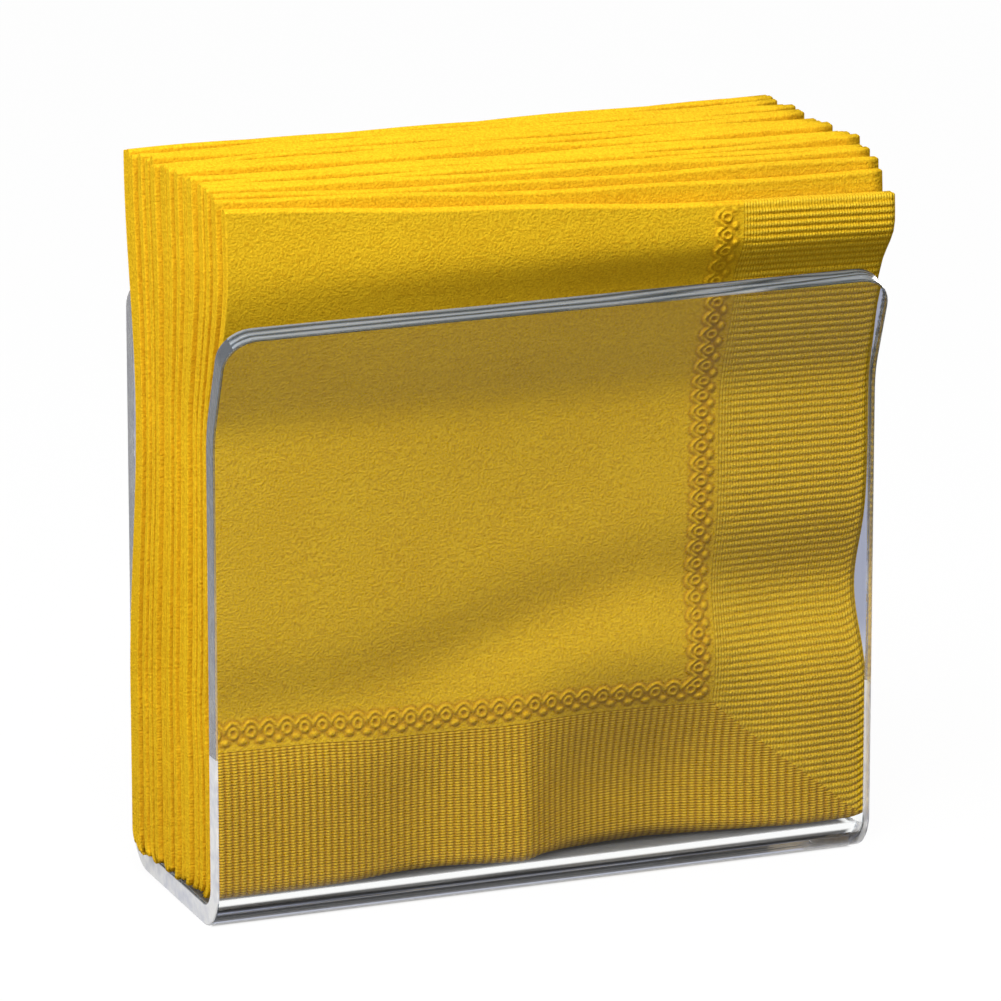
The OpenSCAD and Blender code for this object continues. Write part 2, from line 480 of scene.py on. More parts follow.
    def foot(self, s, x, lift):
        """Height of the open edges. In front, they hang low in the middle and turn up at the right."""
        corner_h, corner_reach = 3 * MM, 0.05
        hung_h, hung_less, hung_reach = 0.9 * MM, 0.4, 0.02
        corner = corner_h * smoothstep(57 * MM, 64 * MM, x) ** 2 * math.exp(-s / corner_reach)
        hung = hung_h * smoothstep(-45 * MM, -28 * MM, x) * (1 - smoothstep(40 * MM, 60 * MM, x))
        hung = hung * (1 - hung_less * smoothstep(-12 * MM, 2 * MM, x)) * math.exp(-s / hung_reach)
        return self.sheet.wall + self.napkin.clear + lift + corner - hung


class FoldedNapkin:
    """A square of paper folded twice.

    The flat sheet runs u across from the right edge of the front half, over the left fold, to the right
    edge of the back half, and v up from the bottom edge of the outer plies, over the top folds, to that of
    the inner ones.
    """

    # Turns from napkin to napkin, in degrees for the scatter of ends and feet and in radians for the wave
    END_TURN, FOOT_TURN, WAVE_TURN = 137, 101, 2.4

    def __init__(self, stack, k, scatter):
        napkin = stack.napkin
        count = len(NAPKIN_NODES) - napkin.gap_share
        self.stack, self.w, self.h = stack, napkin.width, napkin.height
        self.s_front, self.s_back = (k - 1) / count, (k - napkin.gap_share) / count
        sheet = stack.sheet
        self.thick = (self.s_back - self.s_front) * (sheet.depth - 2 * sheet.wall - napkin.waist_in / 2)
        self.left = (-sheet.width / 2 - napkin.stand_out + napkin.end_lead * (1 - self.s_front)
                     + napkin.end_scatter * math.sin(math.radians(self.END_TURN * k)))
        self.lift = napkin.foot_scatter * (1 + math.sin(math.radians(self.FOOT_TURN * k))) / 2
        self.top_off, self.tilt, self.tone = scatter
        self.phase = self.WAVE_TURN * k

    def place(self, u, v, h):
        """Where points of the flat sheet lie in the folded napkin, h outside the middle of the paper."""
        stack, thick = self.stack, self.thick
        crease_half, short_wave, long_wave, long_turn = 0.35, 11 * MM, 27 * MM, 0.45
        fold_r = thick / 8
        turn = np.clip((v - self.h) / fold_r, -QUARTER_TURN, QUARTER_TURN)
        inward = thick / 4 + (fold_r + h) * np.sin(turn)
        crown = (fold_r + h) * np.cos(turn) * stack.napkin.crown
        paper_r = thick / 4 - fold_r * np.sin(turn)
        r = thick / 2 - inward
        round_left = np.clip((u - self.w) / paper_r, -QUARTER_TURN, QUARTER_TURN)
        s = self.s_front + (self.s_back - self.s_front) * (0.5 + r * np.sin(round_left) / thick)
        run = np.maximum(np.abs(u - self.w) - paper_r * QUARTER_TURN, 0.0)
        x = self.left + (thick / 2 - r * np.cos(round_left)) * stack.napkin.spine + run
        x = x + stack.napkin.crease * bell(round_left, 0.0, crease_half)
        straight = self.h - fold_r * QUARTER_TURN
        share = np.clip(np.minimum(v, 2 * self.h - v) / straight, 0.0, 1.0)
        foot = stack.foot(self.s_front, x, self.lift)
        wave = np.sin(x / short_wave + self.phase) * np.sin(x / long_wave + long_turn * self.phase)
        top = stack.top(self.s_front, x) + self.top_off + self.tilt * x + stack.napkin.wave * wave
        z = foot + share * (top - fold_r * stack.napkin.crown - foot) + crown
        y = stack.y(s, x, z)
        x = x + stack.end_shift(s, x, z)
        return np.stack([x, y, z], axis=-1)

    def from_edges(self, u, v):
        """Distances from the nearest open edge across and up the flat sheet, which the embossing follows."""
        return np.minimum(u, 2 * self.w - u), np.minimum(v, 2 * self.h - v)


def spaced(start, end, step):
    """Places from start to end, about a step apart, without the first."""
    count = max(1, round((end - start) / step))
    return [start + (end - start) * (i + 1) / count for i in range(count)]


def zip_lines(a, b):
    """Triangles between two lines of (place, index) that run side by side and start and end together."""
    faces, i, j = [], 0, 0
    while i < len(a) - 1 or j < len(b) - 1:
        if j == len(b) - 1 or (i < len(a) - 1 and a[i + 1][0] <= b[j + 1][0]):
            faces.append([a[i][1], a[i + 1][1], b[j][1]])
            i += 1
        else:
            faces.append([a[i][1], b[j + 1][1], b[j][1]])
            j += 1
    return faces


class FlatSurface:
    """Points and faces of one side of the flat sheet. Points that fall together are one."""

    GRAIN = 1e-7

    def __init__(self):
        self.places, self.faces, self.found = [], [], {}

    def point(self, u, v):
        key = (round(u / self.GRAIN), round(v / self.GRAIN))
        if key not in self.found:
            self.found[key] = len(self.places)
            self.places.append((u, v))
        return self.found[key]

    def face(self, corners):
        corners = list(dict.fromkeys(corners))
        if len(corners) > 2:
            self.faces.append(corners)

    def grid(self, rows):
        """Faces between rows of places, each with as many as the next."""
        indices = [[self.point(u, v) for u, v in row] for row in rows]
        for low, high in zip(indices, indices[1:]):
            for i in range(len(low) - 1):
                self.face([low[i], low[i + 1], high[i + 1], high[i]])

    def fill(self, places):
        """Triangles over the hull of those places."""
        over_hull, near = 0, 1e-5
        indices = [self.point(u, v) for u, v in places]
        flat = [Vector(self.places[i]) / MM for i in indices]
        _, _, triangles, sources, _, _ = delaunay_2d_cdt(flat, [], [], over_hull, near, True)
        origin = [indices[source[0]] for source in sources]
        for triangle in triangles:
            self.face([origin[i] for i in triangle])

    def border(self, w, h):
        """The four edges of the sheet as lines of (place, index)."""
        lines = [[], [], [], []]
        for index, (u, v) in enumerate(self.places):
            for line, at_edge, along in zip(
                lines, (v == 0, u == 2 * w, v == 2 * h, u == 0), (u, v, -u, -v)
            ):
                if at_edge:
                    line.append((along, index))
        return [sorted(line) for line in lines]


def close_sheet(name, napkin, outer, inner, raised, material):
    """A folded sheet of paper with its sides and cut edges. raised gives its embossing, if modelled."""
    ply = napkin.stack.napkin.ply
    u, v = np.array(outer.places).T
    iu, iv = np.array(inner.places).T
    relief = raised(u, v) if raised else 0.0
    points = np.concatenate([napkin.place(u, v, ply / 2 + relief), napkin.place(iu, iv, -ply / 2)])
    count = len(outer.places)
    faces = outer.faces + [[i + count for i in face] for face in inner.faces]
    for a, b in zip(outer.border(napkin.w, napkin.h), inner.border(napkin.w, napkin.h)):
        faces += zip_lines(a, [(place, i + count) for place, i in b])
    obj = add_object(name, points, faces, [material])
    across, up = napkin.from_edges(np.concatenate([u, iu]), np.concatenate([v, iv]))
    not_modelled = np.full_like(across, 0.0 if raised else 1.0)
    add_attribute(obj, "flat", "FLOAT_VECTOR", np.stack([across, up, not_modelled], axis=-1))
    add_attribute(obj, "tone", "FLOAT", np.full_like(across, napkin.tone))
    return obj, across, up


def coarse_lines(size, border_lines, fold_half, step, fold_steps=12):
    """Places of the lines over a flat side: the border's own, coarse ones, and close ones at the fold."""
    to_fold = border_lines + spaced(border_lines[-1], size - fold_half, step)
    over = spaced(size - fold_half, size + fold_half, 2 * fold_half / fold_steps)
    return to_fold + over + spaced(size + fold_half, 2 * size, step)


FOLD_REACH = 0.8


def build_napkin(stack, k, scatter, material):
    """A napkin of the stack, whose embossing is fine enough to leave to its finish."""
    napkin = FoldedNapkin(stack, k, scatter)
    fold_half = FOLD_REACH * napkin.thick
    front_step, more_behind, up_step, foot_h, foot_step = 1.6 * MM, 3.9 * MM, 4 * MM, 5 * MM, 0.6 * MM
    us = coarse_lines(napkin.w, [0.0], fold_half, front_step + more_behind * napkin.s_front)
    vs = coarse_lines(napkin.h, [0.0] + spaced(0.0, foot_h, foot_step), fold_half, up_step)
    rows = [[(u, v) for u in us] for v in vs]
    outer, inner = FlatSurface(), FlatSurface()
    outer.grid(rows)
    inner.grid(rows)
    name = f"folded_{NAPKIN_NODES[k - 1]}"
    return close_sheet(name, napkin, outer, inner, None, material)[0]


def chain_distance(along, across, emboss):
    """Distance from the chain in its band: arches towards the field, a ring under each and leaves between.

    along runs down the band and across runs from -1 at the ribs to 1 at the field.
    """
    unit = emboss.motif
    p = along / unit
    q = across * 0.5 * emboss.chain / unit
    arch_low, arch_rise = 0.16, 0.44
    ring_q, ring_r, ring_narrow = 0.05, 0.24, 1.1
    leaf_q, leaf_r, leaf_narrow = -0.42, 0.08, 0.8
    arch = np.abs(np.sin(np.pi * p))
    steep = np.pi * arch_rise * np.cos(np.pi * p)
    arches = np.abs(q - arch_low - arch_rise * arch) / np.sqrt(1.0 + steep * steep)
    middle = p % 1.0 - 0.5
    rings = np.abs(np.hypot(middle * ring_narrow, q - ring_q) - ring_r)
    leaves = np.maximum(np.hypot((np.abs(middle) - 0.5) * leaf_narrow, q - leaf_q) - leaf_r, 0.0)
    return np.minimum(np.minimum(arches, rings), leaves) * unit


def build_front_napkin(stack, scatter, emboss, material):
    """The front napkin, with its ribs and chain as real relief on the ply that faces the panel."""
    napkin = FoldedNapkin(stack, 1, scatter)
    steps_a_rib, field_step, near = 6, 2.2 * MM, 1e-9
    step = emboss.rib_pitch / steps_a_rib
    border = round(emboss.border / step) * step
    band = border + round(emboss.chain / step) * step
    fold_half = FOLD_REACH * napkin.thick
    columns = int((napkin.w - fold_half) / step)
    rows = int((napkin.h - fold_half) / step)
    reach_u, reach_v = columns * step, rows * step

    edge_share, edge_step, inner_step = 0.2, 0.025, 0.1
    rib_shares = [0.0] + spaced(0.0, edge_share, edge_step) + spaced(edge_share, 1.0, inner_step)
    fine = [border * share for share in rib_shares] + spaced(border, band, step)
    us = coarse_lines(napkin.w, fine, napkin.w - reach_u, field_step)
    vs = coarse_lines(napkin.h, fine, napkin.h - reach_v, field_step)

    outer, inner = FlatSurface(), FlatSurface()
    inner.grid([[(u, v) for u in us] for v in vs])
    past_v = [v for v in vs if v >= reach_v - near]
    past_u = [u for u in us if u >= reach_u - near]
    outer.grid([[(u, v) for u in us] for v in past_v])
    outer.grid([[(u, v) for u in past_u] for v in vs if v <= reach_v + near])

    def ribbed(count):
        """Rows of a ribbed border, ending at the mitre or at the band."""
        return [[(min(border, j * step) * share, j * step) for share in rib_shares] for j in range(count + 1)]

    band_lines = [border] + spaced(border, band, step)
    beyond = [j * step for j in range(rows + 1) if j * step > band - near]
    beside = [i * step for i in range(columns + 1) if i * step > band - near]
    outer.grid(ribbed(rows))
    outer.grid([[(v, u) for u, v in row] for row in ribbed(columns)])
    outer.grid([[(u, v) for u in band_lines] for v in band_lines])
    outer.grid([[(u, v) for u in band_lines] for v in beyond])
    outer.grid([[(u, v) for v in band_lines] for u in beside])
    field_u = [u for u in us if band < u <= reach_u + near]
    field_v = [v for v in vs if band < v <= reach_v + near]
    field = [(u, v) for u in field_u for v in field_v]
    outer.fill([(band, v) for v in beyond] + [(u, band) for u in beside] + field)

    def in_band(across, up):
        """Distance from the chain, and whether there is a chain, at distances from the edges."""
        nearer, far = np.minimum(across, up), np.maximum(across, up)
        distance = chain_distance(far, 2 * (nearer - border) / (band - border) - 1, emboss)
        return distance, (nearer > border) & (nearer < band)

    def softer(up):
        """Share of the relief that is left towards the free top, which nothing presses."""
        lost, lost_from, lost_to = 0.45, 24 * MM, 14 * MM
        return 1 - lost * smoothstep(napkin.h - lost_from, napkin.h - lost_to, up)

    def raised(u, v):
        cut_edge, fade_from, fade_to = 0.6 * MM, 2 * MM, 0.5 * MM
        across, up = napkin.from_edges(u, v)
        front = (u < napkin.w) & (v < napkin.h)
        nearer, far = np.minimum(across, up), np.maximum(across, up)
        phase = far / emboss.rib_pitch + np.where(up < across, 0.5, 0.0)
        ribs = emboss.rib_depth * np.abs(np.cos(np.pi * phase))
        ribs = ribs * (1 - smoothstep(border - step, border, nearer)) * smoothstep(0.0, cut_edge, nearer)
        distance, inside = in_band(across, up)
        chain = emboss.stroke_height * bell(distance, 0.0, emboss.stroke) * inside
        fade = 1 - smoothstep(napkin.h - fade_from, napkin.h - fade_to, v)
        return np.where(front, (ribs + chain) * fade * softer(up), 0.0)

    obj, across, up = close_sheet(f"folded_{NAPKIN_NODES[0]}", napkin, outer, inner, raised, material)
    distance, inside = in_band(across, up)
    # Painted shade beside the raised strokes of the chain, stored per point for the finish.
    beside_strokes = bell(distance, 2 * emboss.stroke, emboss.stroke) * inside
    add_attribute(obj, "painted_shade", "FLOAT", beside_strokes * softer(up))
    return obj


def scatter_of(settings):
    """Height, tilt and tone of each napkin's folds."""
    draw = np.random.default_rng(settings.seed)
    reach, tilt, front = settings.napkin.top_scatter, 0.004, (0.0, 0.0, 0.5)
    drawn = [(draw.uniform(-reach, reach), draw.uniform(-tilt, tilt), draw.uniform(0.0, 1.0))
             for _ in NAPKIN_NODES]
    return [front] + drawn[1:]


# Finishes


class Nodes:
    """The nodes of a material, node group or world. An input takes a socket, a number or a colour."""

    def __init__(self, tree):
        self.tree = tree

    def find(self, kind):
        return next(node for node in self.tree.nodes if node.type == kind)

    def feed(self, socket, value):
        if isinstance(value, bpy.types.NodeSocket):
            self.tree.links.new(value, socket)
        elif socket.type == "RGBA":
            socket.default_value = (*value, 1.0)
        else:
            socket.default_value = value

    def set(self, node, inputs):
        """Feed inputs of a node by name or number."""
        for name, value in dict(inputs).items():
            self.feed(node.inputs[name], value)
        return node

    def add(self, kind, inputs=(), **values):
        node = self.tree.nodes.new(f"ShaderNode{kind}")
        for name, value in values.items():
            setattr(node, name, value)
        return self.set(node, inputs)

    def math(self, operation, *inputs):
        return self.add("Math", enumerate(inputs), operation=operation).outputs[0]

    def times(self, a, b):
        return self.math("MULTIPLY", a, b)

    def scaled(self, value, factor, offset):
        return self.math("MULTIPLY_ADD", value, factor, offset)

    def flipped(self, value):
        return self.math("SUBTRACT", 1.0, value)

    def mix(self, share, a, b):
        """A colour between a and b."""
        return self.add("Mix", {0: share, 6: a, 7: b}, data_type="RGBA").outputs[2]

    def ramp(self, value, low, high):
        """A smooth rise from 0 at low to 1 at high."""
        inputs = {"Value": value, "From Min": low, "From Max": high}
        return self.add("MapRange", inputs, interpolation_type="SMOOTHSTEP").outputs[0]

    def split(self, vector):
        return self.add("SeparateXYZ", {0: vector}).outputs

    def places(self, kind="Object"):
        return self.add("TexCoord").outputs[kind]

    def attribute(self, name, output="Fac"):
        return self.add("Attribute", attribute_name=name).outputs[output]

    def group(self, name, maker, inputs):
        """The outputs of the node group of that name, which is made once."""
        tree = bpy.data.node_groups.get(name) or maker()
        return self.add("Group", inputs, node_tree=tree).outputs

    def grain(self, coordinates, grain_scale, cloud_scale):
        inputs = {"Vector": coordinates, "Grain scale": grain_scale, "Cloud scale": cloud_scale}
        return self.group("Grain and clouds", grain_group, inputs)

    def bump(self, shader, height, distance):
        node = self.add("Bump", {"Height": height, "Distance": distance})
        self.set(shader, {"Normal": node.outputs[0]})

    def blend_surface(self, share, first, second):
        """Put out a blend of two shaders."""
        node = self.add("MixShader", {0: share, 1: first.outputs[0], 2: second.outputs[0]})
        self.set(self.find("OUTPUT_MATERIAL"), {"Surface": node.outputs[0]})


def new_material(name):
    """A new material, its nodes and its shader."""
    material = bpy.data.materials.new(name)
    material.use_nodes = True
    nodes = Nodes(material.node_tree)
    return material, nodes, nodes.find("BSDF_PRINCIPLED")


def new_group(name, vector, values, results):
    """A node group that takes a vector and values and puts out values: its nodes, inputs and outputs."""
    tree = bpy.data.node_groups.new(name, "ShaderNodeTree")
    tree.interface.new_socket(vector, in_out="INPUT", socket_type="NodeSocketVector")
    for in_out, sockets in (("INPUT", values), ("OUTPUT", results)):
        for socket in sockets:
            tree.interface.new_socket(socket, in_out=in_out, socket_type="NodeSocketFloat")
    return Nodes(tree), tree.nodes.new("NodeGroupInput").outputs, tree.nodes.new("NodeGroupOutput").inputs


def grain_group():
    """Fine grain, pebbles and broad clouds over a surface, from its own coordinates."""
    pebble_share, grain_detail, cloud_detail = 0.4, 3.0, 2.0
    nodes, given, out = new_group(
        "Grain and clouds", "Vector", ["Grain scale", "Cloud scale"], ["Grain", "Pebbles", "Clouds"]
    )
    for output, scale, detail in (
        ("Grain", "Grain scale", grain_detail), ("Clouds", "Cloud scale", cloud_detail)
    ):
        noise = nodes.add("TexNoise", {"Vector": given["Vector"], "Scale": given[scale], "Detail": detail})
        nodes.feed(out[output], noise.outputs[0])
    pebbles = nodes.times(given["Grain scale"], pebble_share)
    cells = nodes.add("TexVoronoi", {"Vector": given["Vector"], "Scale": pebbles}, feature="SMOOTH_F1")
    nodes.feed(out["Pebbles"], cells.outputs["Distance"])
    return nodes.tree


def knurl_group():
    """Ribs that are not modelled, rungs across ribs, and the shares of painted shade in the grooves and of
    painted highlight on the crests, inside the sheet's border.
    """
    groove_power, crest_power = 1.5, 3.0
    right_groove, right_nick, right_crest = 0.5, 0.35, 1.0
    lower_groove, lower_nick, lower_crest = 1.2, 0.5, -0.4
    # Share of the rungs, the painted groove shade and the painted crest highlight that is taken off the
    # napkins whose ribs are not modelled
    behind_fade = 0.8
    nodes, given, out = new_group(
        "Knurled border", "Flat", ["Rib pitch", "Rung pitch", "Border"],
        ["Ribs", "Rungs", "Grooves", "Crests"],
    )
    across, up, not_modelled = nodes.split(given["Flat"])
    near = nodes.math("MINIMUM", across, up)
    far = nodes.math("MAXIMUM", across, up)

    def wave(distance, pitch):
        turns = nodes.times(nodes.math("DIVIDE", distance, pitch), math.pi)
        return nodes.math("ABSOLUTE", nodes.math("COSINE", turns))

    mask = nodes.math("LESS_THAN", near, given["Border"])
    lower = nodes.math("LESS_THAN", up, across)
    half = nodes.times(nodes.times(lower, 0.5), given["Rib pitch"])
    ribs = wave(nodes.math("ADD", far, half), given["Rib pitch"])
    rungs = wave(near, given["Rung pitch"])
    between = nodes.math("POWER", nodes.flipped(ribs), groove_power)
    between = nodes.times(between, nodes.scaled(lower, lower_groove, right_groove))
    nicks = nodes.scaled(lower, lower_nick, right_nick)
    grooves = nodes.scaled(nodes.flipped(rungs), nicks, between)
    crests = nodes.times(nodes.math("POWER", ribs, crest_power), rungs)
    crests = nodes.times(crests, nodes.scaled(lower, lower_crest, right_crest))
    kept_share = nodes.scaled(not_modelled, -behind_fade, 1.0)
    for output, value, share in (
        ("Ribs", ribs, not_modelled), ("Rungs", rungs, kept_share), ("Grooves", grooves, kept_share),
        ("Crests", crests, kept_share),
    ):
        nodes.feed(out[output], nodes.times(nodes.times(value, share), mask))
    return nodes.tree


def paper_material(settings):
    """Soft dyed tissue: pebbly grain, uneven dye, and ribs and rungs in its border, with painted shade in the
    grooves and beside the chain, and a painted highlight on the crests of the ribs.
    """
    if "dyed_tissue" in bpy.data.materials:
        return bpy.data.materials["dyed_tissue"]
    dye_start, dye_by_tone, dye_by_clouds, dye_by_grain = -1.75, 0.3, 0.6, 3.4
    crest_highlight, dark_chain, dark_grooves = 0.7, 0.9, 0.75
    smoothest, rough_by_grain = 0.82, 0.12
    grain_h, pebble_h, rib_h, rung_h = 0.9, 0.2, 0.12, 0.45
    finish, emboss = settings.finish, settings.emboss
    material, nodes, shader = new_material("dyed_tissue")
    grain = nodes.grain(nodes.places(), grain_scale=2300.0, cloud_scale=60.0)
    knurl = nodes.group("Knurled border", knurl_group, {
        "Flat": nodes.attribute("flat", "Vector"), "Rib pitch": emboss.rib_pitch,
        "Rung pitch": emboss.rung_pitch, "Border": emboss.border,
    })

    uneven = nodes.scaled(nodes.attribute("tone"), dye_by_tone, dye_start)
    uneven = nodes.scaled(grain["Clouds"], dye_by_clouds, uneven)
    uneven = nodes.scaled(grain["Grain"], dye_by_grain, uneven)
    dyed = nodes.mix(uneven, finish.paper, finish.paper_deep)
    # Painted highlight: the crests of the ribs are mixed towards the paler highlight colour.
    dyed = nodes.mix(nodes.times(knurl["Crests"], crest_highlight), dyed, finish.paper_highlight)
    # Painted shade: darker in the grooves and beside the strokes of the chain.
    grooves = nodes.times(knurl["Grooves"], dark_grooves)
    painted_shade = nodes.scaled(nodes.attribute("painted_shade"), dark_chain, grooves)
    nodes.set(shader, {
        "Base Color": nodes.mix(painted_shade, dyed, finish.paper_shade),
        "Roughness": nodes.scaled(grain["Grain"], rough_by_grain, smoothest), "Specular IOR Level": 0.0,
    })

    height = nodes.scaled(grain["Pebbles"], pebble_h, nodes.times(grain["Grain"], grain_h))
    height = nodes.scaled(knurl["Ribs"], rib_h, height)
    height = nodes.scaled(knurl["Rungs"], rung_h, height)
    nodes.bump(shader, height, emboss.rib_depth)
    return material


def acrylic(name, tint, clearness):
    """Acrylic that lets the lamps through: its material, nodes, shader and own coordinates."""
    index, lamp_light = 1.49, (0.93, 0.93, 0.93)
    material, nodes, shader = new_material(name)
    nodes.set(shader, {"Base Color": tint, "Transmission Weight": clearness, "IOR": index})
    light = nodes.add("LightPath").outputs
    passing = nodes.add("BsdfTransparent", {"Color": lamp_light})
    either = nodes.math("MAXIMUM", light["Is Shadow Ray"], light["Is Diffuse Ray"])
    nodes.blend_surface(either, shader, passing)
    return material, nodes, shader, nodes.places()


def clear_material(settings):
    """Polished faces of the sheet, with faint wiping marks."""
    mark_power, mark_roughness, mirror = 4.0, 0.08, (0.35, 0.35, 0.35)
    material, nodes, shader, places = acrylic("bent_acrylic", settings.finish.acrylic, clearness=1.0)
    grain = nodes.grain(places, grain_scale=900.0, cloud_scale=25.0)
    marks = nodes.math("POWER", grain["Clouds"], mark_power)
    nodes.set(shader, {"Roughness": nodes.times(marks, mark_roughness), "Specular Tint": mirror})
    return material


def end_material(settings, name, clearness):
    """Sawn ends of the sheet: satin, with mottled saw marks, frosted towards the base, and with painted shade
    on their inner edge under the stack.
    """
    mottle, mottle_frost, mottle_start = 3.0, 0.4, -1.2
    smoothest, rough_by_frost, dark_top = 0.05, 0.2, 0.8
    finish = settings.finish
    material, nodes, shader, places = acrylic(name, finish.end, clearness)
    _, back, up = nodes.split(places)
    grain = nodes.grain(places, grain_scale=700.0, cloud_scale=260.0)
    frost = nodes.flipped(nodes.ramp(up, 20 * MM, 60 * MM))
    mottled = nodes.scaled(grain["Clouds"], mottle, nodes.scaled(frost, mottle_frost, mottle_start))
    sawn = nodes.mix(mottled, finish.end, finish.end_light)
    front = nodes.flipped(nodes.ramp(back, 10 * MM, 15 * MM))
    high = nodes.times(nodes.ramp(up, 40 * MM, 95 * MM), front)
    sawn = nodes.mix(nodes.times(high, dark_top), sawn, finish.edge)
    # Painted shade: the inner edge of the sawn ends, low down under the stack, is painted nearly black.
    inner = nodes.flipped(nodes.ramp(nodes.attribute("through"), -0.97, -0.8))
    low = nodes.flipped(nodes.ramp(up, 5 * MM, 8 * MM))
    sawn = nodes.mix(nodes.times(inner, low), sawn, finish.end_shade)
    nodes.set(shader, {"Base Color": sawn, "Roughness": nodes.scaled(frost, rough_by_frost, smoothest)})
    nodes.bump(shader, grain["Grain"], SAW_MARK)
    return material


def top_edge_material(settings):
    """Scraped top edges of the sheet: blue grey, with streaks along them; the blue grey is partly painted
    dark reflection and the light streaks partly painted highlights, over scrape marks.
    """
    drawn_out, streaks_across = (0.06, 1.0, 1.0), 9.0
    left_rough, right_rough = 4.0, 14.0
    smoothest, rough_by_grain = 0.1, 0.3
    finish = settings.finish
    material, nodes, shader, places = acrylic("acrylic_scraped_edge", finish.edge, clearness=0.6)
    along = nodes.add("Mapping", {"Vector": places, "Scale": drawn_out}).outputs[0]
    grain = nodes.grain(along, grain_scale=1400.0, cloud_scale=500.0)
    to_right = nodes.ramp(nodes.split(places)[0], 5 * MM, 45 * MM)
    rough = nodes.scaled(to_right, right_rough, left_rough)
    across = nodes.times(nodes.attribute("through"), streaks_across)
    streak = nodes.math("SINE", nodes.scaled(grain["Clouds"], rough, across))
    streak = nodes.scaled(streak, 0.5, 0.5)
    nodes.set(shader, {
        "Base Color": nodes.mix(streak, finish.edge, finish.edge_light),
        "Roughness": nodes.scaled(grain["Grain"], rough_by_grain, smoothest),
    })
    nodes.bump(shader, grain["Grain"], SAW_MARK)
    return material


# Stage


def add_lamp(name, place, target, side, watts):
    data = bpy.data.lights.new(name, "AREA")
    data.shape, data.size, data.energy = "SQUARE", side, watts
    lamp = bpy.data.objects.new(name, data)
    lamp.location = place
    lamp.rotation_euler = (Vector(target) - Vector(place)).to_track_quat("-Z", "Y").to_euler()
    bpy.context.scene.collection.objects.link(lamp)


def shown_rays(nodes, behind):
    """Shares of rays that show the surroundings, of mirrored rays that show the dark front, and of rays
    through the acrylic.

    The surroundings are white to the camera, through the acrylic, and mirrored in it where behind is 1.
    """
    light = nodes.add("LightPath").outputs
    mirrored, through = light["Is Glossy Ray"], light["Is Transmission Ray"]
    seen = nodes.math("MAXIMUM", light["Is Camera Ray"], through)
    shown = nodes.math("MAXIMUM", seen, nodes.times(mirrored, behind))
    return shown, nodes.times(mirrored, nodes.flipped(shown)), through


def floor_material(settings):
    """White floor that stays white in the picture but for the object's shadow, and has a painted shadow under
    the object, where its reflectance drops.
    """
    stage, sheet = settings.stage, settings.sheet
    material, nodes, shader = new_material("white_floor")
    x, y, _ = nodes.split(nodes.places())

    def outside(place, half, low, high):
        """0 under the object and 1 at its outline, along one axis, rising between two distances from it."""
        return nodes.ramp(nodes.math("SUBTRACT", nodes.math("ABSOLUTE", place), half), low, high)

    shown, dark, through = shown_rays(nodes, nodes.ramp(y, -60 * MM, -20 * MM))
    # Painted shadow under the object: clear is 0 under it, where the floor's reflectance drops to
    # floor_under.
    ends = outside(x, sheet.width / 2, -2 * MM, -0.5 * MM)
    bends = outside(y, sheet.depth / 2, -7.5 * MM, -5.5 * MM)
    clear = nodes.math("MAXIMUM", ends, bends)
    level = nodes.scaled(shown, stage.floor_white - stage.floor_grey, stage.floor_grey)
    open_share = nodes.scaled(clear, 1 - stage.floor_under, stage.floor_under)
    level = nodes.times(level, nodes.math("SUBTRACT", open_share, dark))
    grey = nodes.add("CombineColor", dict.fromkeys(range(3), level))
    nodes.set(shader, {"Base Color": grey.outputs[0], "Roughness": 0.9, "Specular IOR Level": 0.0})
    far = nodes.times(nodes.ramp(y, 60 * MM, 120 * MM), through)
    white = nodes.add("Emission", {"Color": nodes.mix(far, WHITE, settings.finish.backdrop)})
    share = nodes.times(nodes.times(clear, stage.white_share), shown)
    nodes.blend_surface(share, shader, white)
    return material


def make_world(stage, backdrop):
    world = bpy.data.worlds.new("studio")
    world.use_nodes = True
    nodes = Nodes(world.node_tree)
    behind = nodes.ramp(nodes.split(nodes.places("Generated"))[1], -0.3, 0.1)
    shown, dark, through = shown_rays(nodes, behind)
    level = nodes.times(nodes.scaled(shown, 1.0 - stage.sky, stage.sky), nodes.flipped(dark))
    colour_seen = nodes.mix(through, WHITE, backdrop)
    nodes.set(nodes.find("BACKGROUND"), {"Color": colour_seen, "Strength": level})
    bpy.context.scene.world = world


def make_camera(stage):
    level = math.cos(stage.elevation)
    back = Vector((
        -math.sin(stage.azimuth) * level, -math.cos(stage.azimuth) * level, math.sin(stage.elevation)
    ))
    data = bpy.data.cameras.new("camera")
    data.sensor_width, data.lens = 36.0, stage.lens
    data.clip_start, data.clip_end = 0.01, 50.0
    camera = bpy.data.objects.new("camera", data)
    camera.location = Vector(stage.target) + stage.distance * back
    camera.rotation_euler = (-back).to_track_quat("-Z", "Y").to_euler()
    bpy.context.scene.collection.objects.link(camera)
    bpy.context.scene.camera = camera


# Operators


class NAPKIN_OT_stage(bpy.types.Operator):
    """Set up the camera, the lamps and the white floor"""

    bl_idname = "napkin_holder.stage"
    bl_label = "Stage"

    def execute(self, context):
        settings = context.scene.napkin_holder
        stage = settings.stage
        make_camera(stage)
        make_world(stage, settings.finish.backdrop)
        centre = (0.0, 0.0, CAD_BOX[1][2] / 2)
        for name, place, side, watts in (
            ("key_lamp", (-0.24, -0.44, 0.86), 0.45, stage.key_watts),
            ("left_lamp", (-0.6, -0.1, 0.35), 0.4, stage.left_watts),
            ("back_lamp", (1.35, 1.45, 0.25), 0.8, stage.back_watts),
        ):
            add_lamp(name, place, centre, side, watts)
        half, low = 4.0, -0.2 * MM
        corners = [(-half, -half, low), (half, -half, low), (half, half, low), (-half, half, low)]
        floor = add_object("floor", corners, [[0, 1, 2, 3]], [floor_material(settings)])
        context.scene.view_settings.view_transform = "Standard"
        return {"FINISHED"}


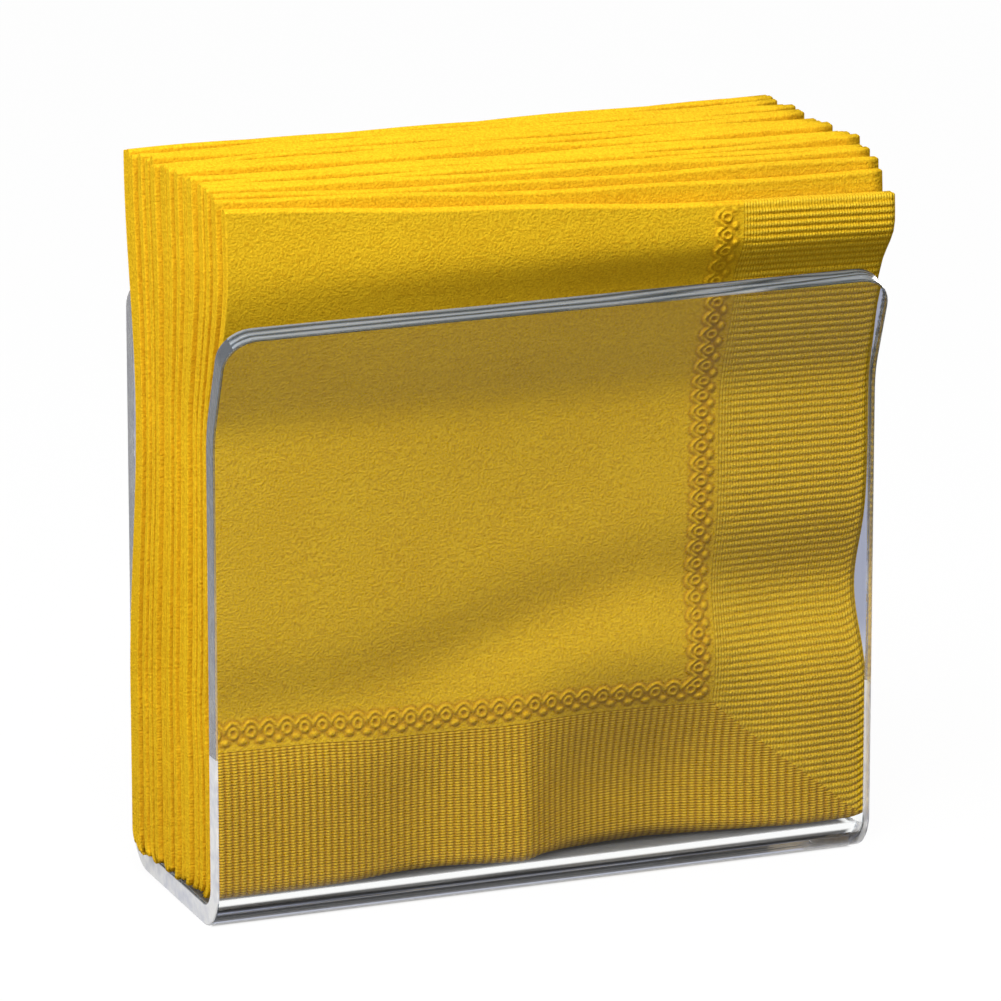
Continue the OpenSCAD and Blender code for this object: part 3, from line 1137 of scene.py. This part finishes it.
class NAPKIN_OT_sheet(bpy.types.Operator):
    """Bend the clear acrylic sheet"""

    bl_idname = "napkin_holder.sheet"
    bl_label = "Acrylic sheet"

    def execute(self, context):
        settings = context.scene.napkin_holder
        materials = [
            clear_material(settings), end_material(settings, "acrylic_sawn_end", clearness=0.15),
            top_edge_material(settings), end_material(settings, "acrylic_clear_end", clearness=0.75),
        ]
        sheet = build_sheet(settings.sheet, materials)
        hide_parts("holder")
        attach(sheet, BODY_OF["holder"])
        return {"FINISHED"}


def seat_napkin(obj, node):
    """Hide a napkin's node and attach the folded sheet that stands for it to the node's body."""
    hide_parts(node)
    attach(obj, BODY_OF[node])


class NAPKIN_OT_front(bpy.types.Operator):
    """Fold the front napkin, with its embossed border as real relief"""

    bl_idname = "napkin_holder.front"
    bl_label = "Front napkin"

    def execute(self, context):
        settings = context.scene.napkin_holder
        stack = Stack(settings)
        paper = paper_material(settings)
        front = build_front_napkin(stack, scatter_of(settings)[0], settings.emboss, paper)
        seat_napkin(front, NAPKIN_NODES[0])
        return {"FINISHED"}


class NAPKIN_OT_stack(bpy.types.Operator):
    """Fold the napkins behind the front one"""

    bl_idname = "napkin_holder.stack"
    bl_label = "Stack of napkins"

    def execute(self, context):
        settings = context.scene.napkin_holder
        stack = Stack(settings)
        scatter = scatter_of(settings)
        for k in range(2, len(NAPKIN_NODES) + 1):
            napkin = build_napkin(stack, k, scatter[k - 1], paper_material(settings))
            seat_napkin(napkin, NAPKIN_NODES[k - 1])
        return {"FINISHED"}


OPERATORS = (NAPKIN_OT_stage, NAPKIN_OT_sheet, NAPKIN_OT_front, NAPKIN_OT_stack)


class NAPKIN_PT_panel(bpy.types.Panel):
    """Pieces and settings of the napkin holder"""

    bl_idname = "NAPKIN_PT_panel"
    bl_label = "Napkin holder"
    bl_space_type = "VIEW_3D"
    bl_region_type = "UI"
    bl_category = "Napkin holder"

    def draw(self, context):
        settings = context.scene.napkin_holder
        for operator in OPERATORS:
            self.layout.operator(operator.bl_idname)
        self.layout.prop(settings, "seed")
        for sizes in (settings.sheet, settings.napkin, settings.emboss, settings.finish, settings.stage):
            box = self.layout.box()
            box.label(text=sizes.bl_rna.description)
            for name in sizes.__annotations__:
                box.prop(sizes, name)


GROUPS = (SheetSizes, NapkinSizes, EmbossSizes, Finishes, StageSettings, HolderSettings)
CLASSES = GROUPS + OPERATORS + (NAPKIN_PT_panel,)


def register():
    for cls in CLASSES:
        bpy.utils.register_class(cls)
    bpy.types.Scene.napkin_holder = PointerProperty(type=HolderSettings)


def unregister():
    del bpy.types.Scene.napkin_holder
    for cls in reversed(CLASSES):
        bpy.utils.unregister_class(cls)


def main():
    register()
    bpy.ops.napkin_holder.stage()
    bpy.ops.napkin_holder.sheet()
    bpy.ops.napkin_holder.front()
    bpy.ops.napkin_holder.stack()


if __name__ == "__main__":
    main()
